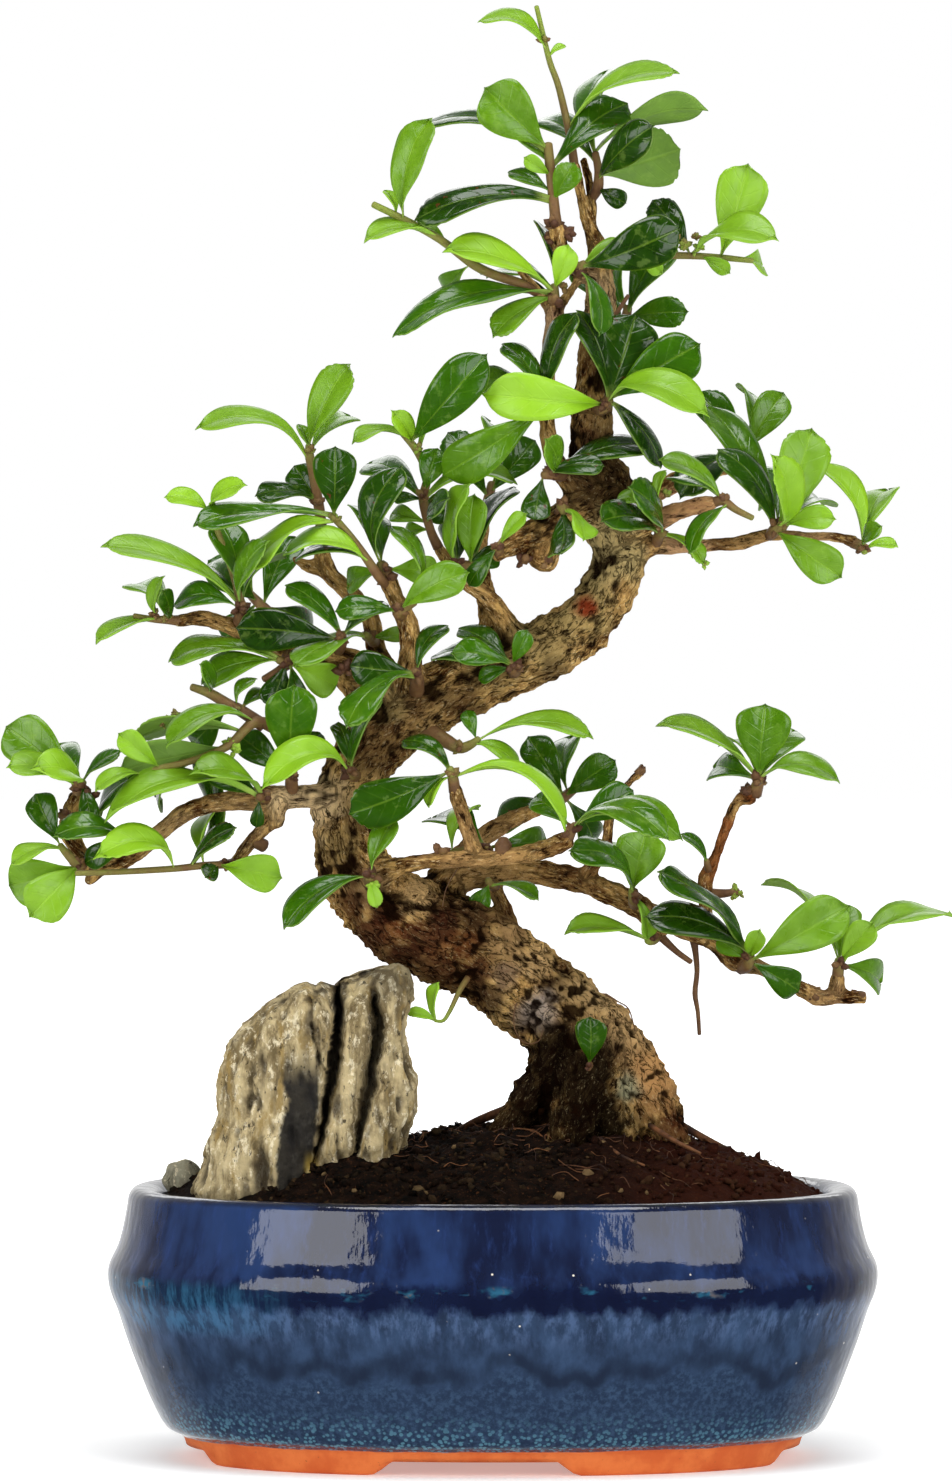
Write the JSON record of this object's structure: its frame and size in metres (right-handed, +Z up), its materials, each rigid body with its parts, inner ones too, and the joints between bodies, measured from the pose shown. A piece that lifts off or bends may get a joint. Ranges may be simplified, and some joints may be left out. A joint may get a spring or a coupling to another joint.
{
  "type": "potted bonsai tree",
  "caption": "Fukien tea bonsai with a curved trunk, knobby branches and small glossy leaves, in an oval glazed pot with soil and an upright stone.",
  "frame": {"origin": "on the surface that the pot's feet stand on, under the middle of the whole object's bounding box", "axes": "+Z up, -Y towards the front of the tree, +X to the right seen from the front"},
  "size_m": [0.2396, 0.15, 0.3626],
  "materials": {
    "glaze": "deep blue glaze over brown clay, glossy",
    "mesh_plastic": "black plastic mesh",
    "soil": "dark crumbly potting soil",
    "stone_ochre": "rough ochre and grey stone",
    "stone_grey": "smooth pebble",
    "bark": "rough tan and grey bark",
    "leaf_old": "dark glossy leaf",
    "leaf_mid": "green glossy leaf",
    "leaf_young": "lime green young leaf"
  },
  "bodies": {
    "root": {"pot": "glaze", "drain_mesh": "mesh_plastic", "soil": "soil", "stone_tall": "stone_ochre", "stone_small": "stone_grey", "wood": "bark", "leaves_leader": "leaf_young", "leaves_crown_front": "leaf_old", "leaves_crown_back": "leaf_old", "leaves_crown_knee": "leaf_mid", "leaves_green_shoot_right": "leaf_young", "leaves_green_shoot_left": "leaf_young", "leaves_left_knob": "leaf_mid", "leaves_mid_crown": "leaf_young", "leaves_left_stem": "leaf_mid", "leaves_below_crown": "leaf_old", "leaves_burl_right": "leaf_mid", "leaves_right_upper": "leaf_mid", "leaves_right_mid": "leaf_mid", "leaves_right_end": "leaf_young", "leaves_olive_stem": "leaf_mid", "leaves_branch_upright": "leaf_mid", "leaves_gnarly": "leaf_old", "leaves_gnarly_end": "leaf_old", "leaves_cut_stub": "leaf_mid", "leaves_toothed": "leaf_mid", "leaves_olive_left": "leaf_mid", "leaves_left_upright": "leaf_mid", "leaves_far_left_tip": "leaf_young", "leaves_far_left_up": "leaf_young", "leaves_dark_big": "leaf_old", "leaves_grey_green": "leaf_mid", "leaves_under_branch": "leaf_mid", "leaves_lower_left_tip": "leaf_young", "leaves_lower_left_bottom": "leaf_young", "leaves_glossy_left": "leaf_old", "leaves_runner": "leaf_young", "leaves_left_branch": "leaf_mid", "leaves_broad_left": "leaf_old", "leaves_lime_toothed": "leaf_mid", "leaves_mid_left": "leaf_mid", "leaves_olive_twig": "leaf_old", "leaves_trunk_top": "leaf_old", "leaves_trunk_top_right": "leaf_old", "leaves_oval_dark": "leaf_young", "leaves_pale_centre": "leaf_young", "leaves_elbow": "leaf_mid", "leaves_front_twig": "leaf_mid", "leaves_front_knob": "leaf_mid", "leaves_spade": "leaf_young", "leaves_dark_right": "leaf_old", "leaves_far_right": "leaf_young", "leaves_pale_low": "leaf_young", "leaves_rosette_right": "leaf_young", "leaves_trunk_foot": "leaf_old", "leaves_back_upper": "leaf_old", "leaves_back_left": "leaf_old", "leaves_back_middle": "leaf_old", "leaves_back_right": "leaf_mid", "leaves_back_low": "leaf_old"}
  },
  "joints": []
}
